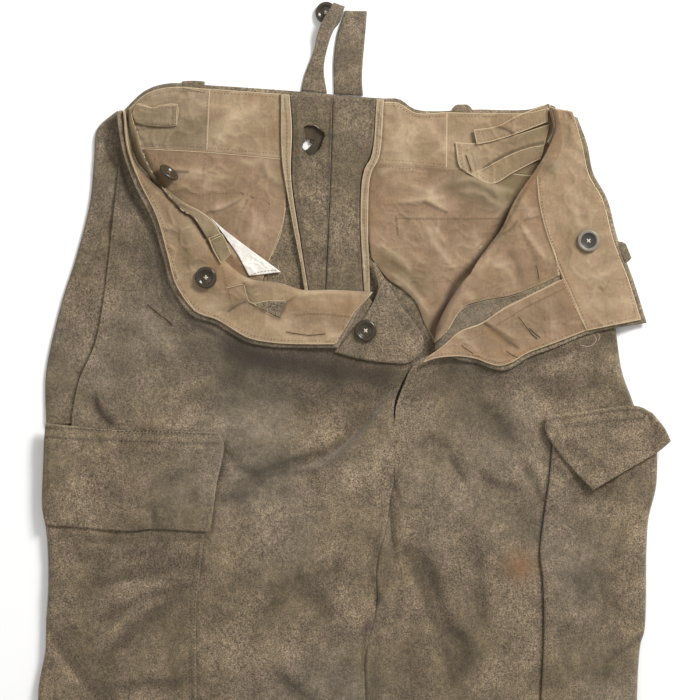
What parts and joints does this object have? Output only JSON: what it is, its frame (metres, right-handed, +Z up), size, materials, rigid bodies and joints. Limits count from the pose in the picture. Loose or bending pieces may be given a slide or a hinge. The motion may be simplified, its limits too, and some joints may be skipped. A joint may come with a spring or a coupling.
{
  "type": "combat trousers",
  "caption": "Wool combat trousers laid flat on their back, button fly open and both fronts turned out over cotton facings, with flapped thigh pockets.",
  "frame": {"origin": "middle of the outer box, on the surface that the garment lies on", "axes": "+Z up from that surface, +Y from the hems towards the waist, +X towards the wearer's left leg"},
  "size_m": [0.5688, 1.142, 0.0217],
  "materials": {
    "wool": "felted heather wool, matt",
    "khaki_cotton": "twill, matt, creased",
    "olive_cotton": "twill, matt",
    "tape": "cotton tape, matt",
    "dark_button": "semi-gloss",
    "grey_button": "semi-gloss",
    "label": "bare woven cotton"
  },
  "bodies": {
    "root": {"back_right": "wool", "back_left": "wool", "front_right": "wool", "front_left": "wool", "side_panel_right": "wool", "seam_allowance_right": "wool", "seam_allowance_left": "wool", "fly_underlap": "wool", "cargo_pocket_right": "wool", "cargo_flap_right": "wool", "cargo_pocket_left": "wool", "cargo_flap_left": "wool", "back_tab_left": "wool", "back_tab_right": "wool", "belt_loop_right_back": "wool", "belt_loop_left_back": "wool", "belt_loop_left_side": "wool", "back_facing_right": "khaki_cotton", "back_facing_left": "khaki_cotton", "back_facing_left_side": "khaki_cotton", "back_lining_right": "khaki_cotton", "back_lining_left": "khaki_cotton", "front_facing_right": "khaki_cotton", "front_lining_left": "khaki_cotton", "fly_placket_left": "khaki_cotton", "front_facing_left": "khaki_cotton", "waist_strap_left_upper": "khaki_cotton", "waist_strap_left_lower": "khaki_cotton", "strap_loop_left": "khaki_cotton", "back_facing_right_side": "olive_cotton", "waist_strap_right": "olive_cotton", "waist_strap_right_free": "olive_cotton", "seam_binding_right": "tape", "seam_binding_left": "tape", "button_fly_top": "dark_button", "button_underlap": "dark_button", "button_strap": "dark_button", "button_back_tab": "dark_button", "button_facing": "grey_button", "care_label": "label"}
  },
  "joints": []
}
